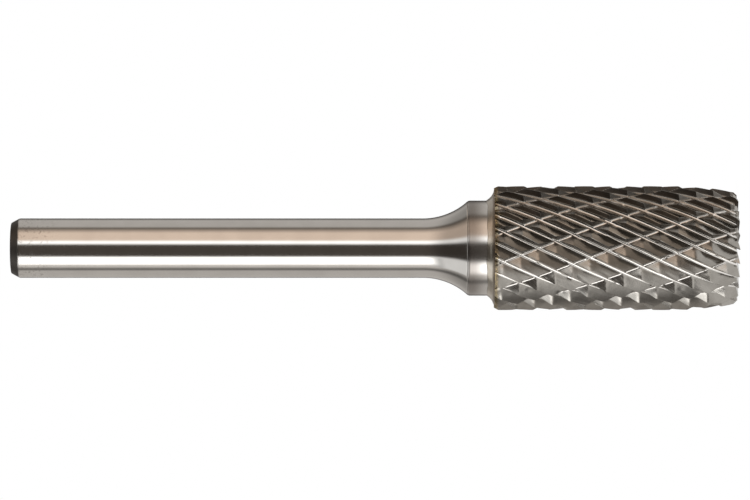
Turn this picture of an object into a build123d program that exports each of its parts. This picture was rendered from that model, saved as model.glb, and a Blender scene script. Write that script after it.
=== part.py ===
from build123d import *

import math
import os

# A cylindrical carbide burr with a toothed front end, on a plain round shank.
# Sizes are in millimetres and angles in degrees. The burr stands on its head: the origin is the
# centre of the head's front end, and +Z runs up the axis to the free end of the shank.

# Shank, flare and neck
SHANK_DIAMETER = 6.0
GRIP_LENGTH = 41.5
END_CHAMFER_LENGTH = 0.85
END_CHAMFER_DEPTH = 0.46
NECK_DIAMETER = 9.6
NECK_LENGTH = 2.5
FLARE_RADIUS = 6.75

# Brazed joint
BRAZE_GAP = 0.1
BRAZE_FILLET_LENGTH = 0.65
BRAZE_FILLET_HEIGHT = 0.95
BRAZE_FILLET_HOLLOW = 0.09

# Head blank
HEAD_DIAMETER = 12.5
HEAD_LENGTH = 24.5
FRONT_TAPER_LENGTH = 6.2
FRONT_TAPER_DEPTH = 0.66
FRONT_CORNER = 0.25
BACK_BEVEL_LENGTH = 0.4
BACK_BEVEL_DEPTH = 0.2

# Main teeth: right-hand flutes, each with a narrow land, a clearance face, a root and a steep
# rake face that looks clockwise seen from the shank
MAIN_TEETH = 23
MAIN_LEAD = 73.6
MAIN_DEPTH = 0.72
MAIN_LAND = 0.08
MAIN_RAKE_ANGLE = -16.0
MAIN_ROOT_WIDTH = 0.26
MAIN_START_ANGLE = 2.8

# Cross cuts: left-hand V grooves that part the main teeth into short ones
CROSS_CUTS = 12
CROSS_LEAD = 90.5
CROSS_DEPTH = 0.64
CROSS_STEEP_WIDTH = 0.26
CROSS_GENTLE_WIDTH = 1.2
CROSS_START_ANGLE = 19.5

# End teeth: one at the end of each main tooth, deepest at the rim, round a small relief
END_TOOTH_SLOPE = 16.0
RELIEF_DIAMETER = 1.6
RELIEF_DEPTH = 0.35

# How far a cutting form runs past the blank, and how many sections carry it through one pitch
OVERRUN = 0.5
SECTIONS_PER_PITCH = 4

head_radius = HEAD_DIAMETER / 2
shank_radius = SHANK_DIAMETER / 2
neck_radius = NECK_DIAMETER / 2
neck_start = HEAD_LENGTH + BRAZE_GAP
flare_start = neck_start + NECK_LENGTH
flare_centre_radius = shank_radius + FLARE_RADIUS
flare_length = math.sqrt(FLARE_RADIUS**2 - (flare_centre_radius - neck_radius) ** 2)
grip_start = flare_start + flare_length
shank_end = grip_start + GRIP_LENGTH
taper_arc_radius = (FRONT_TAPER_LENGTH**2 + FRONT_TAPER_DEPTH**2) / (2 * FRONT_TAPER_DEPTH)
main_pitch = 360 / MAIN_TEETH
cross_pitch = 360 / CROSS_CUTS


def turned(points_and_arcs):
    """Solid of revolution about the axis, from a closed outline of radius and height."""
    with BuildPart() as piece:
        with BuildSketch(Plane.XZ):
            with BuildLine():
                points_and_arcs()
            make_face()
        revolve(axis=Axis.Z)
    return piece.part


def shank_outline():
    """Half outline of the shank: neck, concave flare, gripping length and end chamfer."""
    Polyline((0, neck_start), (neck_radius, neck_start), (neck_radius, flare_start))
    TangentArc((shank_radius, grip_start), (neck_radius, flare_start), tangent=(0, -1))
    Polyline(
        (shank_radius, grip_start),
        (shank_radius, shank_end - END_CHAMFER_LENGTH),
        (shank_radius - END_CHAMFER_DEPTH, shank_end),
        (0, shank_end),
        (0, neck_start),
    )


def braze_outline():
    """Half outline of the joint: the film in the butt joint and its fillet round the neck."""
    fillet_radius = min(neck_radius + BRAZE_FILLET_HEIGHT, head_radius - BACK_BEVEL_DEPTH)
    fillet_top = neck_start + BRAZE_FILLET_LENGTH
    rise = fillet_top - HEAD_LENGTH
    run = fillet_radius - neck_radius
    chord = math.hypot(rise, run)
    flattest_leg = math.atan2(min(rise, run), max(rise, run))
    hollow = min(BRAZE_FILLET_HOLLOW, chord / 2 * math.tan(flattest_leg / 2))
    middle = (
        (neck_radius + fillet_radius) / 2 - hollow * rise / chord,
        (fillet_top + HEAD_LENGTH) / 2 - hollow * run / chord,
    )
    Polyline((neck_radius, fillet_top), (neck_radius, neck_start), (0, neck_start))
    Polyline((0, neck_start), (0, HEAD_LENGTH), (fillet_radius, HEAD_LENGTH))
    ThreePointArc((fillet_radius, HEAD_LENGTH), middle, (neck_radius, fillet_top))


def blank_outline():
    """Half outline of the head's blank: true at both ends, and clear of the teeth between."""
    front = blank_radius(0)
    outer = head_radius + OVERRUN
    bevel_slope = BACK_BEVEL_LENGTH / BACK_BEVEL_DEPTH
    Polyline(
        (0, 0),
        (front - FRONT_CORNER, 0),
        (outer, outer - front + FRONT_CORNER),
        (outer, HEAD_LENGTH - bevel_slope * (OVERRUN + BACK_BEVEL_DEPTH)),
        (head_radius - BACK_BEVEL_DEPTH, HEAD_LENGTH),
        (0, HEAD_LENGTH),
        close=True,
    )


def blank_radius(height):
    """Radius of the head: a cylinder that draws in along an arc towards its front."""
    below = max(FRONT_TAPER_LENGTH - height, 0)
    return head_radius - taper_arc_radius + math.sqrt(taper_arc_radius**2 - below**2)


def polar(radius, angle, height):
    """Point at a radius and an angle about the axis, at a height."""
    turn = math.radians(angle)
    return Vector(radius * math.cos(turn), radius * math.sin(turn), height)


def arc_angle(width):
    """Angle that an arc of this width takes up on the head's outside."""
    return math.degrees(width / head_radius)


def twisted_form(section, lead, pitch):
    """Solid through sections that follow the blank and turn once about the axis in a lead."""
    low = -OVERRUN
    high = HEAD_LENGTH + OVERRUN
    count = math.ceil((high - low) * 360 / lead * SECTIONS_PER_PITCH / pitch)
    sections = []
    for step in range(count + 1):
        height = low + (high - low) * step / count
        points = section(blank_radius(height), 360 * height / lead, height)
        sections.append(Wire.make_polygon(points, close=True))
    return Solid.make_loft(sections, ruled=False)


def main_teeth_section(radius, turn, height):
    """Corners of the toothed bar: land, clearance face, root and rake face for each tooth."""
    rake_lag = arc_angle(MAIN_DEPTH * math.tan(math.radians(MAIN_RAKE_ANGLE)))
    points = []
    for tooth in range(MAIN_TEETH):
        edge = MAIN_START_ANGLE + turn + tooth * main_pitch
        foot = edge + main_pitch + rake_lag
        points.append(polar(radius, edge, height))
        points.append(polar(radius, edge + arc_angle(MAIN_LAND), height))
        points.append(polar(radius - MAIN_DEPTH, foot - arc_angle(MAIN_ROOT_WIDTH), height))
        points.append(polar(radius - MAIN_DEPTH, foot, height))
    return points


def cross_cut_section(radius, turn, height):
    """Corners of the bar that the cross cuts leave: one V for each cut, clear of the blank."""
    outer = radius + CROSS_DEPTH
    spread = (outer - radius + CROSS_DEPTH) / CROSS_DEPTH
    steep = arc_angle(CROSS_STEEP_WIDTH) * spread
    gentle = arc_angle(CROSS_GENTLE_WIDTH) * spread
    points = []
    for cut in range(CROSS_CUTS):
        valley = CROSS_START_ANGLE - turn + cut * cross_pitch
        points.append(polar(radius - CROSS_DEPTH, valley, height))
        points.append(polar(outer, valley + steep, height))
        points.append(polar(outer, valley + cross_pitch - gentle, height))
    return points


def end_teeth_cutter():
    """Crown below the front: from each cutting edge it climbs to the foot of the next tooth."""
    climb = head_radius * math.sin(math.radians(main_pitch)) * math.tan(math.radians(END_TOOTH_SLOPE))
    centre = Vector(0, 0, 0)
    low_centre = Vector(0, 0, -OVERRUN)
    faces = []
    for tooth in range(MAIN_TEETH):
        edge = MAIN_START_ANGLE + tooth * main_pitch
        start = polar(head_radius, edge, 0)
        foot = polar(head_radius, edge + main_pitch, 0)
        top = polar(head_radius, edge + main_pitch, climb)
        low_start = polar(head_radius, edge, -OVERRUN)
        low_foot = polar(head_radius, edge + main_pitch, -OVERRUN)
        faces.append(Face(Wire.make_polygon([centre, start, top])))
        faces.append(Face(Wire.make_polygon([centre, top, foot])))
        faces.append(Face(Wire.make_polygon([low_start, low_foot, foot, top, start])))
        faces.append(Face(Wire.make_polygon([low_centre, low_foot, low_start])))
    return Solid(Shell(faces))


def build_cutting_head():
    """Carbide head: the blank, fluted, toothed on its front end and cross-cut."""
    teeth = twisted_form(main_teeth_section, MAIN_LEAD, main_pitch)
    cuts = twisted_form(cross_cut_section, CROSS_LEAD, cross_pitch)
    relief = Pos(0, 0, RELIEF_DEPTH / 2) * Cylinder(RELIEF_DIAMETER / 2, RELIEF_DEPTH)
    return (teeth & turned(blank_outline)) - relief - end_teeth_cutter() & cuts


os.makedirs("parts", exist_ok=True)
export_step(turned(shank_outline), "parts/shank.step")
export_step(turned(braze_outline), "parts/braze_joint.step")
export_step(build_cutting_head(), "parts/cutting_head.step")
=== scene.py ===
import math

import bpy
from mathutils import Matrix, Vector


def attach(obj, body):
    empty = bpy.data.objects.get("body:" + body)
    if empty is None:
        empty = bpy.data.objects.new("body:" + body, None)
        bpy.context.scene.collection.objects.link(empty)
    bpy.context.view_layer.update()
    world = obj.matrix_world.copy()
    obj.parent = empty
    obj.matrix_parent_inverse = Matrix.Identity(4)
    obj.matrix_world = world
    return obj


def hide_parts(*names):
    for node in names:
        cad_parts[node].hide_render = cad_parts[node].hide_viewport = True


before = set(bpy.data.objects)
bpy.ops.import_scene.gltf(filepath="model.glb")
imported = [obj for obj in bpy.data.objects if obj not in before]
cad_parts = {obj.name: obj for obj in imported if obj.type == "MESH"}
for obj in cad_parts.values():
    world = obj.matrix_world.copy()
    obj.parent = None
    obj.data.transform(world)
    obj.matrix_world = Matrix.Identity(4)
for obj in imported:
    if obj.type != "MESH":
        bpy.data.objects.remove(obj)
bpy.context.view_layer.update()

# ---------------------------------------------------------------------------------------------
# Shank
# One bar of hardened tool steel: a thick neck that carries the head, a hollow flare, and the
# 6 mm length that a collet grips. It is turned, hardened and ground between centres, so its
# finish is a polish of fine rings; the far end keeps a dark, rough chamfer from the parting-off.
# ---------------------------------------------------------------------------------------------


class Wire:
    """A socket of a node tree. Sums written with wires add the Math nodes that work them out."""

    def __init__(self, net, socket):
        self.net = net
        self.socket = socket

    def out(self, name):
        return Wire(self.net, self.socket.node.outputs[name])

    def reckon(self, operation, *others):
        return self.net.reckon(operation, self, *others)

    def __add__(self, other):
        return self.reckon("ADD", other)

    def __radd__(self, other):
        return self.net.reckon("ADD", other, self)

    def __sub__(self, other):
        return self.reckon("SUBTRACT", other)

    def __rsub__(self, other):
        return self.net.reckon("SUBTRACT", other, self)

    def __mul__(self, other):
        return self.reckon("MULTIPLY", other)

    def __rmul__(self, other):
        return self.net.reckon("MULTIPLY", other, self)

    def __truediv__(self, other):
        return self.reckon("DIVIDE", other)

    def __rtruediv__(self, other):
        return self.net.reckon("DIVIDE", other, self)

    def __pow__(self, other):
        return self.reckon("POWER", other)

    def __lt__(self, other):
        return self.reckon("LESS_THAN", other)

    def __gt__(self, other):
        return self.reckon("GREATER_THAN", other)

    def low(self, other):
        return self.reckon("MINIMUM", other)

    def high(self, other):
        return self.reckon("MAXIMUM", other)

    def held(self, lowest=0.0, highest=1.0):
        return self.high(lowest).low(highest)

    def step(self, start, end):
        """0 below start, 1 above end and a smooth rise between; falls where end is the lower."""
        return self.net.node(
            "ShaderNodeMapRange",
            {"interpolation_type": "SMOOTHSTEP"},
            {"Value": self, "From Min": start, "From Max": end, "To Min": 0.0, "To Max": 1.0},
        )


class Net:
    """A node tree that is being wired up."""

    def __init__(self, tree):
        self.tree = tree

    def node(self, kind, settings=None, inputs=None):
        """Adds a node: its settings first, then its sockets' values or wires."""
        made = self.tree.nodes.new(kind)
        for name, value in (settings or {}).items():
            if name == "stops":
                ramp = made.color_ramp
                while len(ramp.elements) < len(value):
                    ramp.elements.new(0.5)
                for element, (position, colour) in zip(ramp.elements, value):
                    element.position = position
                    element.color = (*colour, 1.0)
            elif name == "knots":
                curve = made.mapping.curves[0]
                while len(curve.points) < len(value):
                    curve.points.new(0.5, 0.5)
                for point, (x, y) in zip(curve.points, value):
                    point.location = (x, y)
                    point.handle_type = "VECTOR"
                made.mapping.use_clip = False
                made.mapping.update()
            else:
                setattr(made, name, value)
        for name, value in (inputs or {}).items():
            socket = made.inputs[name]
            if isinstance(value, Wire):
                self.tree.links.new(value.socket, socket)
            else:
                socket.default_value = value
        shown = [output for output in made.outputs if output.enabled]
        return Wire(self, shown[0]) if shown else made

    def reckon(self, operation, *values):
        """Adds a Math node."""
        return self.node("ShaderNodeMath", {"operation": operation}, dict(enumerate(values)))

    def blend(self, share, first, second):
        """Colour that goes from the first to the second as the share goes from 0 to 1."""
        inputs = {0: share, 6: first, 7: second}
        for place in (6, 7):
            if isinstance(inputs[place], tuple):
                inputs[place] = (*inputs[place], 1.0)
        made = self.tree.nodes.new("ShaderNodeMix")
        made.data_type = "RGBA"
        for place, value in inputs.items():
            if isinstance(value, Wire):
                self.tree.links.new(value.socket, made.inputs[place])
            else:
                made.inputs[place].default_value = value
        return Wire(self, made.outputs[2])


def metal(name):
    """A new material: its net, its metal shader's node, and its object coordinates in mm."""
    made = bpy.data.materials.new(name)
    made.use_nodes = True
    net = Net(made.node_tree)
    shader = made.node_tree.nodes["Principled BSDF"]
    shader.inputs["Metallic"].default_value = 1.0
    place = net.node("ShaderNodeTexCoord").out("Object")
    place = net.node("ShaderNodeVectorMath", {"operation": "SCALE"}, {0: place, "Scale": 1000.0})
    return made, net, shader, place


def feed(net, shader, **wires):
    """Links wires to the shader's sockets, named with _ for a space."""
    for name, wire in wires.items():
        net.tree.links.new(wire.socket, shader.inputs[name.replace("_", " ")])


def rounded(corners):
    """Outline through corners of (radius, height, fillet), with a short arc at each fillet."""
    line = []
    for k, (x, z, fillet) in enumerate(corners):
        if fillet == 0 or k in (0, len(corners) - 1):
            line.append((x, z))
            continue
        x0, z0, _ = corners[k - 1]
        x1, z1, _ = corners[k + 1]
        back = math.hypot(x0 - x, z0 - z)
        ahead = math.hypot(x1 - x, z1 - z)
        a = ((x0 - x) / back, (z0 - z) / back)
        b = ((x1 - x) / ahead, (z1 - z) / ahead)
        for share in (1.6, 1.0):
            line.append((x + a[0] * fillet * share, z + a[1] * fillet * share))
        for t in (0.25, 0.5, 0.75):
            p = (1 - t) ** 2
            q = t**2
            line.append((x + (a[0] * p + b[0] * q) * fillet, z + (a[1] * p + b[1] * q) * fillet))
        for share in (1.0, 1.6):
            line.append((x + b[0] * fillet * share, z + b[1] * fillet * share))
    return line


def turned(name, line, sides=192, sway=None):
    """Solid of revolution in metres from an outline in mm that starts and ends on the axis."""
    points = [(0.0, 0.0, line[0][1] / 1000)]
    for radius, height in line[1:-1]:
        for k in range(sides):
            turn = 2 * math.pi * k / sides
            r, z = (radius, height) if sway is None else sway(radius, height, turn)
            points.append((r * math.cos(turn) / 1000, r * math.sin(turn) / 1000, z / 1000))
    points.append((0.0, 0.0, line[-1][1] / 1000))
    rings = len(line) - 2
    faces = []
    for k in range(sides):
        after = (k + 1) % sides
        faces.append((0, 1 + after, 1 + k))
        for ring in range(rings - 1):
            low = 1 + ring * sides
            faces.append((low + k, low + after, low + sides + after, low + sides + k))
        top = 1 + (rings - 1) * sides
        faces.append((top + k, top + after, len(points) - 1))
    mesh = bpy.data.meshes.new(name)
    mesh.from_pydata(points, [], faces)
    mesh.shade_smooth()
    piece = bpy.data.objects.new(name, mesh)
    bpy.context.scene.collection.objects.link(piece)
    return piece


neck_radius = 4.8
neck_start = 24.6
flare_start = 27.1
flare_radius = 6.75
grip_radius = 3.0
grip_length = 41.5
chamfer_length = 0.85
chamfer_depth = 0.46
flare_steps = 33
flare_drop = grip_radius + flare_radius - neck_radius
grip_start = flare_start + math.sqrt(flare_radius**2 - flare_drop**2)
shank_end = grip_start + grip_length

corners = [(0.0, neck_start, 0), (neck_radius, neck_start, 0.08), (neck_radius, flare_start, 0.2)]
flare_turn = math.asin((grip_start - flare_start) / flare_radius)
for k in range(1, flare_steps):
    turn = flare_turn * (1 - k / flare_steps)
    radius = grip_radius + flare_radius * (1 - math.cos(turn))
    corners.append((radius, grip_start - flare_radius * math.sin(turn), 0))
corners += [
    (grip_radius, grip_start, 0),
    (grip_radius, grip_start + 0.6, 0),
    (grip_radius, (grip_start + shank_end) / 2, 0),
    (grip_radius, shank_end - chamfer_length, 0.1),
    (grip_radius - chamfer_depth, shank_end, 0.09),
    (0.0, shank_end, 0),
]
shank = turned("shank_body", rounded(corners))

ground_steel, net, shader, place = metal("ground_steel")
along = net.node("ShaderNodeSeparateXYZ", inputs={0: place}).out("Z")
# Fine grinding rings run round the bar, so their pattern is drawn out across the axis
ring_stretch = (0.08, 0.08, 9.0)
rings_at = net.node("ShaderNodeVectorMath", {"operation": "MULTIPLY"}, {0: place, 1: ring_stretch})
rings = net.node("ShaderNodeTexNoise", inputs={"Vector": rings_at, "Scale": 2.2, "Detail": 4.0})
coarse = net.node("ShaderNodeTexNoise", inputs={"Vector": place, "Scale": 0.35, "Detail": 3.0})
fine = net.node("ShaderNodeTexNoise", inputs={"Vector": place, "Scale": 3.2, "Detail": 5.0})
uneven = (fine - 0.5) * 0.5
# The brazing flame tints the neck up to an uneven edge at the flare
tint_grows = (along + uneven * 0.5).step(neck_start + 0.4, flare_start - 0.3)
tint_ends = (along + uneven * 0.3).step(flare_start + 0.2, flare_start - 0.1)
scorch = tint_grows * tint_ends
chamfer = (along + uneven * 0.3).step(shank_end - 0.84, shank_end - 0.74)
# Handling leaves a few grey smudges near the far end
smudge = along.step(68.0, 70.5) * fine.step(0.52, 0.66)
bare = net.blend(coarse.step(0.35, 0.7), (0.64, 0.62, 0.59), (0.60, 0.58, 0.55))
tinted = net.blend(scorch * 0.85, bare, (0.24, 0.215, 0.195))
smudged = net.blend(smudge * 0.45, tinted, (0.30, 0.28, 0.25))
ends = net.blend(chamfer, smudged, (0.085, 0.078, 0.07))
neck = along.step(flare_start + 0.2, flare_start - 0.2)
gloss = 0.13 + (rings - 0.5) * 0.08 + neck * 0.04 + scorch * 0.06 + smudge * 0.1 + chamfer * 0.34
relief = (rings * 0.25 + fine * chamfer * 14.0) * 0.001
bump = net.node("ShaderNodeBump", inputs={"Height": relief, "Distance": 0.001, "Strength": 0.5})
feed(net, shader, Base_Color=ends, Roughness=gloss, Normal=bump)
shank.data.materials.append(ground_steel)
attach(shank, "root")
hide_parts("shank")

# ---------------------------------------------------------------------------------------------
# Brazed joint
# A film of silver solder holds the carbide head to the butt end of the neck. It was drawn
# in molten, so it shows as a small hollow fillet round the neck, dulled by the heat.
# ---------------------------------------------------------------------------------------------

head_length = 24.5
fillet_rise = 0.75
fillet_run = 0.95
fillet_hollow = 0.075
fillet_steps = 12
lap = 0.05
fillet_line = [(0.0, head_length, 0), (neck_radius + fillet_run, head_length, 0.03)]
for k in range(1, fillet_steps):
    share = k / fillet_steps
    sag = fillet_hollow * math.sin(math.pi * share)
    radius = neck_radius + fillet_run * (1 - share) - sag
    fillet_line.append((max(radius, neck_radius + 0.004), head_length + fillet_rise * share - sag, 0))
fillet_line += [
    (neck_radius, head_length + fillet_rise, 0),
    (neck_radius - lap, head_length + fillet_rise - 0.02, 0),
    (neck_radius - lap, neck_start, 0),
    (0.0, neck_start, 0),
]


def run_of_solder(radius, height, turn):
    """The molten edge creeps a little further in some places than in others."""
    creep = 0.05 * math.sin(3 * turn + 0.6) + 0.035 * math.sin(7 * turn + 2.1)
    creep += 0.02 * math.sin(16 * turn)
    share = max(height - head_length - 0.1, 0) / fillet_rise
    return radius, height + creep * share


braze = turned("braze_fillet", rounded(fillet_line), sway=run_of_solder)

silver_solder, net, shader, place = metal("silver_solder")
cloud = net.node("ShaderNodeTexNoise", inputs={"Vector": place, "Scale": 0.9, "Detail": 4.0})
grain = net.node("ShaderNodeTexNoise", inputs={"Vector": place, "Scale": 6.0, "Detail": 5.0})
# Burnt flux stays as a dark line where the solder meets the head
flux = net.node("ShaderNodeSeparateXYZ", inputs={0: place}).out("Z").step(24.78, 24.56)
solder = net.blend(cloud.step(0.35, 0.7), (0.70, 0.65, 0.57), (0.60, 0.54, 0.45))
solder = net.blend(grain.step(0.58, 0.75) * 0.35, solder, (0.42, 0.35, 0.26))
solder = net.blend(flux * 0.85, solder, (0.22, 0.17, 0.12))
relief = (grain * 0.010 + cloud * 0.03) * 0.3
bump = net.node("ShaderNodeBump", inputs={"Height": relief, "Distance": 0.001, "Strength": 0.4})
feed(net, shader, Base_Color=solder, Roughness=0.17 + grain * 0.12 + flux * 0.15, Normal=bump)
braze.data.materials.append(silver_solder)
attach(braze, "root")
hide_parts("braze_joint")

# ---------------------------------------------------------------------------------------------
# Cutting head
# A blank of sintered tungsten carbide, ground with diamond wheels: 23 right-hand flutes leave
# teeth with a steep front and a long clearance behind, 12 left-hand cuts part them into short
# teeth that break the chip, and each flute runs out at the front end in a tooth of its own.
# ---------------------------------------------------------------------------------------------

TEETH = 23
CUTS = 12
FRONT_ROWS = 9
CORNER_ROWS = 5
BEVEL_ROWS = 4
BACK_ROWS = 3
CORNER_HEIGHT = 0.35
BEVEL_HEIGHT = 0.45


def flute(pitch, depth, land, wall_slope, root_radius, back_shares, wall_shares):
    """Stations across one flute, from an edge to the next one: share of the pitch, and depth.

    After a land the back falls straight to a round root, and a steep wall climbs from it."""
    slope = math.radians(wall_slope)
    centre_height = depth - root_radius
    centre = pitch - centre_height / math.tan(slope) - root_radius / math.sin(slope)
    reach = math.hypot(centre - land, centre_height)
    fall = math.atan2(centre_height, centre - land) + math.asin(root_radius / reach)
    back = math.sqrt(reach**2 - root_radius**2)
    line = [(0.0, 0.0)]
    for share in back_shares:
        line.append((land + back * share * math.cos(fall), back * share * math.sin(fall)))
    for k in range(1, 8):
        turn = -fall + (slope + fall) * k / 7
        x = centre + root_radius * math.sin(turn)
        line.append((x, centre_height + root_radius * math.cos(turn)))
    foot_x, foot_depth = line[-1]
    for share in wall_shares:
        line.append((foot_x + (pitch - foot_x) * share, foot_depth * (1 - share)))
    line.append((pitch, 0.0))
    return [(x / pitch, fallen / depth) for x, fallen in line]


tooth_depth = 0.72
tooth_back = (0.0, 0.1, 0.22, 0.34, 0.46, 0.58, 0.7, 0.85, 1.0)
tooth_stations = flute(1.707, tooth_depth, 0.05, 74.0, 0.32, tooth_back, (0.25, 0.5, 0.75, 0.95))
cut_rise = 0.80
cut_depth = 0.66
cut_back = (0.2, 0.4, 0.48, 0.56, 0.64, 0.72, 0.8, 0.88, 1.0)
cut_front = (0.06, 0.12, 0.18, 0.24, 0.30, 0.36, 0.42)
cut_stations = flute(3.272, cut_rise + cut_depth, 0.0, 66.0, 0.25, cut_back, cut_front)
TOOTH_STATIONS = len(tooth_stations) - 1
CUT_STATIONS = len(cut_stations) - 1
FOOT_STATION = TOOTH_STATIONS - 5
# Where the root of a flute lies among its stations, and the root and steep wall of a cut
TOOTH_ROOT_START = FOOT_STATION - 6.5
TOOTH_ROOT_END = FOOT_STATION - 3.5
CUT_ROOT_START = 9.5
CUT_ROOT_END = 12.5
CUT_WALL_START = 14.5

columns = TEETH * TOOTH_STATIONS + 1
cut_runs = 20
side_start = FRONT_ROWS + CORNER_ROWS
side_rows = cut_runs * CUT_STATIONS
rows = side_start + side_rows + BEVEL_ROWS + BACK_ROWS + 1

sizes = {
    "Head diameter": 12.5,
    "Head length": head_length,
    "Front taper length": 6.2,
    "Front taper depth": 0.66,
    "Front corner": 0.25,
    "Back bevel length": 0.4,
    "Back bevel depth": 0.2,
    "Tooth start angle": 2.8,
    "Tooth lead": 73.6,
    "Tooth depth": tooth_depth,
    "Cut start angle": 19.5,
    "Cut lead": 90.5,
    "Cut depth": cut_depth,
    "Cut rise": cut_rise,
    "End tooth slope": 16.0,
    "Relief diameter": 1.6,
    "Relief depth": 0.35,
    "Wear": 0.05,
}

tree = bpy.data.node_groups.new("ground_head", "GeometryNodeTree")
tree.interface.new_socket("Geometry", in_out="INPUT", socket_type="NodeSocketGeometry")
for name in sizes:
    tree.interface.new_socket(name, in_out="INPUT", socket_type="NodeSocketFloat")
tree.interface.new_socket("Seed", in_out="INPUT", socket_type="NodeSocketFloat")
tree.interface.new_socket("Material", in_out="INPUT", socket_type="NodeSocketMaterial")
tree.interface.new_socket("Geometry", in_out="OUTPUT", socket_type="NodeSocketGeometry")
net = Net(tree)
given = net.node("NodeGroupInput")

head_radius = given.out("Head diameter") * 0.5
length = given.out("Head length")
tooth_turn = 360.0 / given.out("Tooth lead")
cut_turn = 360.0 / given.out("Cut lead")
slope = given.out("End tooth slope").reckon("RADIANS")

# The grid's columns follow the teeth round the head, and its rows follow the cross cuts
grid = net.node(
    "GeometryNodeMeshGrid",
    inputs={"Size X": columns - 1, "Size Y": rows - 1, "Vertices X": columns, "Vertices Y": rows},
)
spot = net.node("ShaderNodeSeparateXYZ", inputs={0: net.node("GeometryNodeInputPosition")})
column = (spot.out("X") + (columns - 1) / 2).reckon("ROUND")
row = (spot.out("Y") + (rows - 1) / 2).reckon("ROUND")

tooth = (column / TOOTH_STATIONS + 0.001).reckon("FLOOR")
at = column / TOOTH_STATIONS - tooth


def profile(at, stations, column_of):
    """One column of a list of stations, as a curve over equal steps."""
    last = len(stations) - 1
    knots = [(k / last, station[column_of]) for k, station in enumerate(stations)]
    return net.node("ShaderNodeFloatCurve", {"knots": knots}, {"Value": at})


share = profile(at, tooth_stations, 0)
flank = profile(at, tooth_stations, 1) * given.out("Tooth depth")
line_angle = given.out("Tooth start angle") + (tooth + share) * (360.0 / TEETH)

side_row = (row - side_start).held(0.0, float(side_rows))
cut = (side_row / CUT_STATIONS + 0.001).reckon("FLOOR")
cut_at = side_row / CUT_STATIONS - cut
valley = max(cut_stations, key=lambda station: station[1])[0]
cut_share = profile(cut_at, cut_stations, 0) - valley
cut_line = given.out("Cut start angle") + (cut + cut_share) * (360.0 / CUTS)

# Height at which this tooth line meets this cut line, kept between the two ends
front_radius = head_radius - given.out("Front taper depth")
past_edge = (share * (360.0 / TEETH)).reckon("RADIANS")
climb = front_radius * past_edge.reckon("SINE") * slope.reckon("TANGENT")
gullet = at < ((FOOT_STATION + 0.5) / TOOTH_STATIONS)
climb = climb * gullet
corner_share = ((row - FRONT_ROWS) / CORNER_ROWS).held()
bevel_share = ((row - side_start - side_rows) / BEVEL_ROWS).held()
lowest = climb + corner_share * CORNER_HEIGHT
highest = length - (1.0 - bevel_share) * BEVEL_HEIGHT
height = ((cut_line - line_angle) / (tooth_turn + cut_turn)).high(lowest).low(highest)

# The blank: a cylinder that draws in along an arc towards its front
taper_length = given.out("Front taper length")
taper_depth = given.out("Front taper depth")
taper_arc = (taper_length * taper_length + taper_depth * taper_depth) / (2.0 * taper_depth)
below = (taper_length - height).high(0.0)
blank = head_radius - taper_arc + (taper_arc * taper_arc - below * below) ** 0.5

turn = line_angle + height * tooth_turn
cut_phase = (turn + height * cut_turn - given.out("Cut start angle")) / (360.0 / CUTS) + valley
cut_phase = cut_phase - cut_phase.reckon("FLOOR")

# The cross cut's own depth at that phase, from a curve through its stations
cut_knots = net.node("ShaderNodeFloatCurve", {"knots": cut_stations}, {"Value": cut_phase})
cut_rise = given.out("Cut rise")
tooth_surface = blank - flank
cut_surface = blank + cut_rise - cut_knots * (cut_rise + given.out("Cut depth"))
edge_wear = 0.02
ground = tooth_surface.reckon("SMOOTH_MIN", cut_surface, edge_wear)
corner = front_radius - given.out("Front corner") + height
bevel_depth = given.out("Back bevel depth")
bevel = head_radius - bevel_depth + (length - height) * bevel_depth / given.out("Back bevel length")
rim = ground.low(corner).low(bevel)

# Front end: each tooth's face rises from its edge to the foot of the next, round a relief
relief_radius = given.out("Relief diameter") * 0.5
inward = ((row - 2.0) / (FRONT_ROWS - 2)).held()
radius = relief_radius + (rim - relief_radius) * inward
radius = radius * row.low(1.0)
outward = ((rows - 1.0 - row) / BACK_ROWS).held()
radius = radius * outward
on_front = row < (FRONT_ROWS - 0.5)
in_relief = row < 1.5
face_height = climb * radius / rim
height = height + on_front * (face_height - height)
height = height + in_relief * (given.out("Relief depth") - height)
# The relief's floor is flat, so its lines don't follow the helix
turn = turn + in_relief * (line_angle - turn)

turn = turn.reckon("RADIANS")
across = radius * turn.reckon("COSINE")
up = radius * turn.reckon("SINE")
placed = net.node("ShaderNodeCombineXYZ", inputs={0: across, 1: up, 2: height})

# Small chips out of the edges
chip_noise = net.node(
    "ShaderNodeTexNoise",
    {"noise_dimensions": "4D"},
    {"Vector": placed, "W": given.out("Seed"), "Scale": 2.6, "Detail": 3.0},
)
chip = chip_noise.step(0.60, 0.72) * given.out("Wear")
on_side = (row > (FRONT_ROWS + 1.5)) * (row < (side_start + side_rows - 0.5))
shrink = (1.0 - chip * on_side / radius.high(0.5)) * 0.001
chipped = net.node(
    "ShaderNodeVectorMath",
    {"operation": "MULTIPLY"},
    {0: placed, 1: net.node("ShaderNodeCombineXYZ", inputs={0: shrink, 1: shrink, 2: 0.001})},
)

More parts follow.
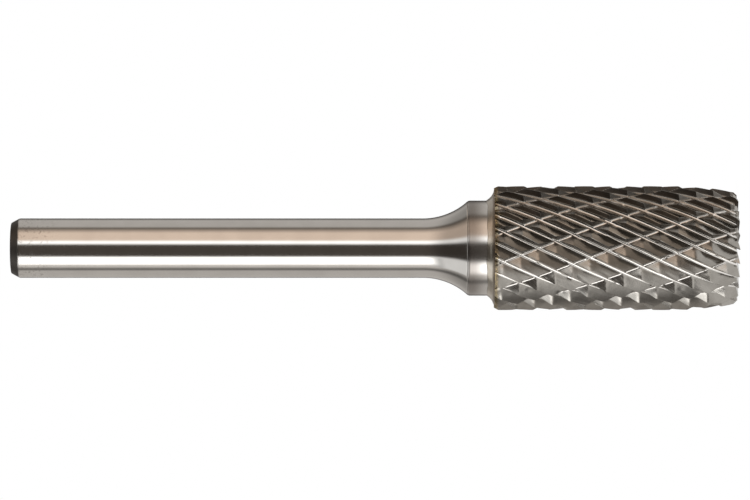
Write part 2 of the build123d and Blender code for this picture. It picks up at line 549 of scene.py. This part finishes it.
# Masks for the carbide's shader. The wheel's side leaves the tooth fronts and the steep walls of the
# cuts rougher.
# The shader also paints them near black, a painted shade; it paints the roots pale, a painted
# highlight, and the gentle walls of the cuts lighter, a painted sheen.
in_cut = cut_surface < tooth_surface
steep = in_cut * (cut_at > (CUT_WALL_START / CUT_STATIONS))
gentle = in_cut * (cut_at < (CUT_ROOT_START / CUT_STATIONS))
front = (at > ((FOOT_STATION - 0.5) / TOOTH_STATIONS)) * (1.0 - in_cut) + steep * 0.8
tooth_root = at > (TOOTH_ROOT_START / TOOTH_STATIONS)
tooth_root = tooth_root * (at < (TOOTH_ROOT_END / TOOTH_STATIONS))
cut_root = cut_at > (CUT_ROOT_START / CUT_STATIONS)
cut_root = cut_root * (cut_at < (CUT_ROOT_END / CUT_STATIONS))
root = tooth_root * (1.0 - in_cut) + cut_root * in_cut
marked = grid
for name, mark in (("tooth_front", front), ("cut_face", gentle), ("root", root)):
    marked = net.node(
        "GeometryNodeStoreNamedAttribute", inputs={"Geometry": marked, "Name": name, "Value": mark}
    )
shaped = net.node("GeometryNodeSetPosition", inputs={"Geometry": marked, "Position": chipped})
weld = 0.000002
closed = net.node("GeometryNodeMergeByDistance", inputs={"Geometry": shaped, "Distance": weld})
bend = net.node("GeometryNodeInputMeshEdgeAngle")
sharp = 0.45
smooth = net.node("GeometryNodeSetShadeSmooth", {"domain": "FACE"}, {"Geometry": closed})
creased = net.node(
    "GeometryNodeSetShadeSmooth",
    {"domain": "EDGE"},
    {"Geometry": smooth, "Selection": bend > sharp, "Shade Smooth": False},
)
real = net.node("GeometryNodeRealizeInstances", inputs={"Geometry": creased})
finished = net.node(
    "GeometryNodeSetMaterial", inputs={"Geometry": real, "Material": given.out("Material")}
)
net.node("NodeGroupOutput", inputs={0: finished})

ground_carbide, net, shader, place = metal("ground_carbide")
axes = net.node("ShaderNodeSeparateXYZ", inputs={0: place})
around = axes.out("Y").reckon("ARCTAN2", axes.out("X")) * (180 / math.pi)
along = axes.out("Z")
# Grinding streaks run along the flutes
past_flute = around - along * (360 / sizes["Tooth lead"])
streak_at = net.node("ShaderNodeCombineXYZ", inputs={0: past_flute * 1.1, 1: along * 0.12, 2: 0.0})
streak = net.node("ShaderNodeTexNoise", inputs={"Vector": streak_at, "Scale": 1.3, "Detail": 5.0})
mottle = net.node("ShaderNodeTexNoise", inputs={"Vector": place, "Scale": 0.8, "Detail": 4.0})
pits = net.node("ShaderNodeTexNoise", inputs={"Vector": place, "Scale": 9.0, "Detail": 4.0})
front = net.node("ShaderNodeAttribute", {"attribute_name": "tooth_front"}).out("Fac")
cut_face = net.node("ShaderNodeAttribute", {"attribute_name": "cut_face"}).out("Fac")
root = net.node("ShaderNodeAttribute", {"attribute_name": "root"}).out("Fac")
carbide = net.blend(mottle.step(0.35, 0.7), (0.345, 0.325, 0.295), (0.28, 0.262, 0.235))
carbide = net.blend(streak.step(0.5, 0.75) * 0.35, carbide, (0.43, 0.405, 0.37))
# Painted sheen: the gentle walls of the cuts are coloured lighter than the rest of the carbide
carbide = net.blend(cut_face * 0.35, carbide, (0.58, 0.565, 0.53))
# Painted shade: the tooth fronts and the steep walls of the cuts are coloured near black
carbide = net.blend(front * 0.85, carbide, (0.055, 0.046, 0.038))
# Painted highlight: the roots of the flutes and of the cuts are coloured pale
carbide = net.blend(root * 0.85, carbide, (0.82, 0.79, 0.75))
# Solder and flux stain the back rim, with a few brassy specks
rim_stain = along.step(head_length - 0.5, head_length - 0.15)
carbide = net.blend(rim_stain * 0.75, carbide, (0.20, 0.155, 0.085))
speck = rim_stain * pits.step(0.56, 0.62)
carbide = net.blend(speck * 0.8, carbide, (0.72, 0.55, 0.27))
gloss = 0.19 + (streak - 0.5) * 0.20 + mottle * 0.06 + cut_face * 0.06 + front * 0.2
height_map = streak * 0.004 + pits * 0.006
bump = net.node("ShaderNodeBump", inputs={"Height": height_map, "Distance": 0.001, "Strength": 0.6})
feed(net, shader, Base_Color=carbide, Roughness=gloss, Normal=bump)

blank_mesh = bpy.data.meshes.new("head_blank")
head = bpy.data.objects.new("cutting_head_teeth", blank_mesh)
bpy.context.scene.collection.objects.link(head)
grinding = head.modifiers.new("grinding", "NODES")
grinding.node_group = tree
for item in tree.interface.items_tree:
    if item.in_out == "INPUT" and item.name in sizes:
        grinding[item.identifier] = sizes[item.name]
    elif item.in_out == "INPUT" and item.name == "Seed":
        grinding[item.identifier] = 4.0
    elif item.in_out == "INPUT" and item.name == "Material":
        grinding[item.identifier] = ground_carbide
evaluated = head.evaluated_get(bpy.context.evaluated_depsgraph_get())
ground_mesh = bpy.data.meshes.new_from_object(evaluated)
head.modifiers.clear()
head.data = ground_mesh
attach(head, "root")
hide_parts("cutting_head")

# ---------------------------------------------------------------------------------------------
# Floor
# A pale round board for the burr to stand on. It is white to the camera, and fades into the
# backdrop towards its edge, so that only the burr's own shadow shows on it.
# ---------------------------------------------------------------------------------------------

floor_mesh = bpy.data.meshes.new("floor")
board_radius = 0.0105
board_sides = 96
ring = []
for k in range(board_sides):
    turn = 2 * math.pi * k / board_sides
    ring.append((board_radius * math.cos(turn), board_radius * math.sin(turn), 0.0))
floor_mesh.from_pydata(ring, [], [tuple(range(board_sides))])
floor = bpy.data.objects.new("floor", floor_mesh)
bpy.context.scene.collection.objects.link(floor)
board = bpy.data.materials.new("pale_board")
board.use_nodes = True
net = Net(board.node_tree)
net.tree.nodes.remove(net.tree.nodes["Principled BSDF"])
ray = net.node("ShaderNodeLightPath")
seen = ray.out("Is Camera Ray").high(ray.out("Is Glossy Ray")).high(ray.out("Is Transmission Ray"))
paint = net.node("ShaderNodeBsdfDiffuse", inputs={"Color": (0.9, 0.9, 0.9, 1.0)})
glow = net.node("ShaderNodeEmission", inputs={"Strength": 1.05})
spot = net.node("ShaderNodeTexCoord").out("Object")
out = net.node("ShaderNodeVectorMath", {"operation": "LENGTH"}, {0: spot}).out("Value")
share = 0.93 + out.step(0.0065, 0.0102) * 0.07
mixed = net.node("ShaderNodeMixShader", inputs={0: seen * share, 1: paint, 2: glow})
net.tree.links.new(mixed.socket, net.tree.nodes["Material Output"].inputs["Surface"])
floor_mesh.materials.append(board)

# ---------------------------------------------------------------------------------------------
# Studio light
# Long softboxes, a warm card and black flags lie along the burr, so each one shows as a band
# that runs the length of the steel.
# ---------------------------------------------------------------------------------------------

white = (1.0, 1.0, 1.0)
grey = (1.0, 0.96, 0.92)
warm = (1.0, 0.86, 0.74)
peach = (1.0, 0.81, 0.67)
black = (0.0, 0.0, 0.0)

# How much light comes from each kind of thing in the room
softbox = 2.8
lamp = 1.9
window = 1.4
card = 1.0
ceiling = 0.8  # and the feathered rim of the softbox
wall = 0.6
dim = 0.4
gap = 0.2
flag = 0.08
dark = 0.04
brightest = softbox

# What stands round the burr: where it starts and ends, its light and its tint. 0 faces the
# camera, 90 is +X and -90 is -X. Between two things the light blends from one to the other.
room_beside = [
    (-180, -165, dark, warm),
    (-150, -100, wall, grey),
    (-92, -87, gap, grey),
    (-77, -70, ceiling, grey),
    (-60, -41, softbox, white),
    (-30, 11, flag, warm),
    (20, 24, lamp, white),
    (32, 60, card, peach),
    (81, 83, gap, warm),
    (93, 133, wall, grey),
    (160, 180, dark, warm),
]
# Past the head's front end the warm card and the black flag stop, and a window faces the burr
room_ahead = [
    (-180, -160, dark, warm),
    (-100, -84, wall, grey),
    (-66, -50, gap, grey),
    (-10, 4, window, white),
    (36, 75, dim, warm),
    (104, 110, ceiling, warm),
    (130, 138, gap, peach),
    (170, 180, dark, warm),
]


def turn_share(angle):
    """An angle round the burr as a share of a full turn."""
    return (angle + 180) / 360


def ringed(net, share, things):
    """Light from the things in the room, at a share of a turn round the burr."""
    stops = []
    for start, end, level, tint in things:
        light = tuple(part * level / brightest for part in tint)
        stops += [(turn_share(start), light), (turn_share(end), light)]
    return net.node("ShaderNodeValToRGB", {"stops": stops}, {0: share})


world = bpy.data.worlds.new("studio")
bpy.context.scene.world = world
world.use_nodes = True
net = Net(world.node_tree)
sky = net.tree.nodes["Background"]
aim = net.node("ShaderNodeSeparateXYZ", inputs={0: net.node("ShaderNodeTexCoord").out("Generated")})
height = aim.out("Z")
round_share = aim.out("X").reckon("ARCTAN2", 0.0 - aim.out("Y")) * (0.5 / math.pi) + 0.5
# Towards the shank's end the strips lean in over the burr, so they follow its flare
leaning_share = aim.out("X").reckon("ARCTAN2", 1.0 - aim.out("Y")) / math.pi + 0.5
side_share = round_share + (height > 0.0) * (leaning_share - round_share)
side = ringed(net, side_share, room_beside)
# The low softbox fades along its length, and so does the rest of the room a little
box = height.step(0.08, 0.50) * (side_share > turn_share(-75)) * (side_share < turn_share(-36))
faded = net.blend(height.step(0.38, 0.60), (0.30, 0.30, 0.30), (0.58, 0.58, 0.58))
side = net.blend(box, side, faded)
side = net.blend(height.step(0.10, 0.65) * 0.42, side, black)
# The front end of the room starts a little earlier overhead
overhead = round_share.step(turn_share(90), turn_share(115))
ahead = (height - overhead * 0.17).step(-0.20, -0.36)
room = net.blend(ahead, side, ringed(net, round_share, room_ahead))
# A black flag below the front end, and dim walls at both ends of the room
flag = height.step(-0.565, -0.62) * height.step(-0.95, -0.80)
room = net.blend(flag * 0.92, room, black)
end_walls = height.step(0.985, 0.9999).high(height.step(-0.6, -0.95))
room = net.blend(end_walls, room, (0.30 / brightest, 0.30 / brightest, 0.29 / brightest))
# The backdrop is white to the camera, and polished metal shows it where it faces it
ray = net.node("ShaderNodeLightPath")
shiny = ray.out("Is Glossy Ray").high(ray.out("Is Transmission Ray"))
behind = aim.out("Y").step(0.985, 0.998) * shiny
shown = ray.out("Is Camera Ray").high(behind)
colour = net.blend(shown, room, white)
net.tree.links.new(colour.socket, sky.inputs["Color"])
strength = brightest + shown * (1.0 - brightest)
net.tree.links.new(strength.socket, sky.inputs["Strength"])

# ---------------------------------------------------------------------------------------------
# Camera
# Square on to the burr's side, turned so that the shank points left.
# ---------------------------------------------------------------------------------------------

camera_data = bpy.data.cameras.new("camera")
camera_data.sensor_width = 36.0
camera_data.lens = 254.0
camera = bpy.data.objects.new("camera", camera_data)
bpy.context.scene.collection.objects.link(camera)
right = Vector((0.0, 0.0, -1.0))
upward = Vector((1.0, 0.0, 0.0))
back = Vector((0.0, -1.0, 0.0))
turned_to = Matrix((right, upward, back)).transposed().to_4x4()
turned_to.translation = Vector((-0.00019, -0.534, 0.0365))
camera.matrix_world = turned_to
camera_data.clip_start = 0.01
camera_data.clip_end = 10.0
bpy.context.scene.camera = camera

bpy.context.scene.view_settings.view_transform = "Standard"
